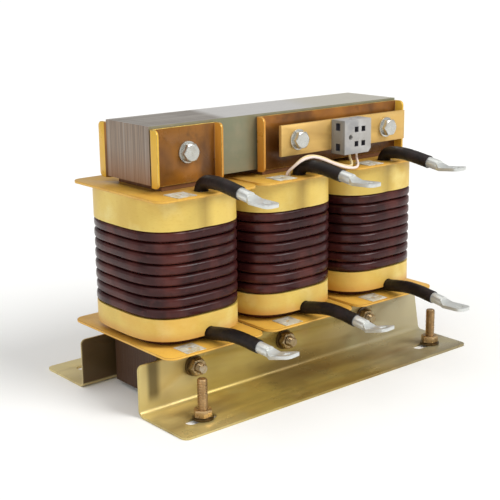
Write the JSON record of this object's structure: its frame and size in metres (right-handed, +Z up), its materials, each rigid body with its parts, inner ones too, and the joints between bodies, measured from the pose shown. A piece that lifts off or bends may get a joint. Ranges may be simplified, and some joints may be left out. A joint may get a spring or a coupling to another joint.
{
  "type": "iron-core reactor",
  "caption": "Iron-core line reactor: copper coils on a clamped laminated core, standing on angle rails, with lugged leads and a terminal block for its thermal switch.",
  "frame": {"origin": "on the floor under the middle of the core, midway between the foot slots", "axes": "+X along the rails to the right as the leads face the viewer, +Y to the rear, +Z up"},
  "size_m": [0.316, 0.2428, 0.2195],
  "materials": {
    "lamination_end": "oiled lamination stack",
    "core_block": "varnished lamination stack",
    "gap_plate": "glass laminate",
    "clamp_sheet": "amber varnish over zinc",
    "rail_sheet": "yellow passivated zinc",
    "bar_sheet": "yellow passivated zinc",
    "bolt_steel": "zinc plated",
    "stud_steel": "yellow passivated zinc",
    "washer_steel": "zinc plated",
    "block_plastic": "moulded grey",
    "clamp_brass": "bare",
    "screw_steel": "zinc plated",
    "switch_shell": "insulated shell",
    "wire_insulation": "pale silicone",
    "former_board": "varnished board",
    "flange_board": "varnished board",
    "inner_turns": "enamelled copper",
    "outer_turns": "enamelled copper, varnished",
    "band_paper": "varnished insulating tape",
    "marker": "plain label",
    "copper": "bare copper",
    "sleeve": "black heat-shrink",
    "lug_tin": "tinned copper"
  },
  "bodies": {
    "root": {"bottom_yoke": "lamination_end", "top_yoke": "lamination_end", "left_limb": "core_block", "middle_limb": "core_block", "right_limb": "core_block", "gap_spacers": "gap_plate", "front_left_clamp": "clamp_sheet", "front_right_clamp": "clamp_sheet", "rear_left_clamp": "clamp_sheet", "rear_right_clamp": "clamp_sheet", "lower_front_clamp": "clamp_sheet", "lower_rear_clamp": "clamp_sheet", "front_rail": "rail_sheet", "rear_rail": "rail_sheet", "upper_clamp_bolts": "bolt_steel", "rail_bolts": "bolt_steel", "clamp_nuts": "bolt_steel", "clamp_washers": "washer_steel", "fixing_studs": "stud_steel", "fixing_nuts": "stud_steel", "fixing_washers": "washer_steel", "terminal_bar": "bar_sheet", "bar_spacers": "bar_sheet", "terminal_block": "block_plastic", "terminal_clamps": "clamp_brass", "terminal_screws": "screw_steel", "thermal_switch": "switch_shell", "thermal_wires": "wire_insulation", "left_former_tube": "former_board", "left_upper_flange": "flange_board", "left_lower_flange": "flange_board", "left_inner_winding": "inner_turns", "left_outer_winding": "outer_turns", "left_upper_band": "band_paper", "left_lower_band": "band_paper", "middle_former_tube": "former_board", "middle_upper_flange": "flange_board", "middle_lower_flange": "flange_board", "middle_inner_winding": "inner_turns", "middle_outer_winding": "outer_turns", "middle_upper_band": "band_paper", "middle_lower_band": "band_paper", "right_former_tube": "former_board", "right_upper_flange": "flange_board", "right_lower_flange": "flange_board", "right_inner_winding": "inner_turns", "right_outer_winding": "outer_turns", "right_upper_band": "band_paper", "right_lower_band": "band_paper", "marker_plates": "marker", "lead_conductors": "copper", "upper_sleeves": "sleeve", "lower_sleeves": "sleeve", "upper_left_lug": "lug_tin", "upper_middle_lug": "lug_tin", "upper_right_lug": "lug_tin", "lower_left_lug": "lug_tin", "lower_middle_lug": "lug_tin", "lower_right_lug": "lug_tin"}
  },
  "joints": []
}
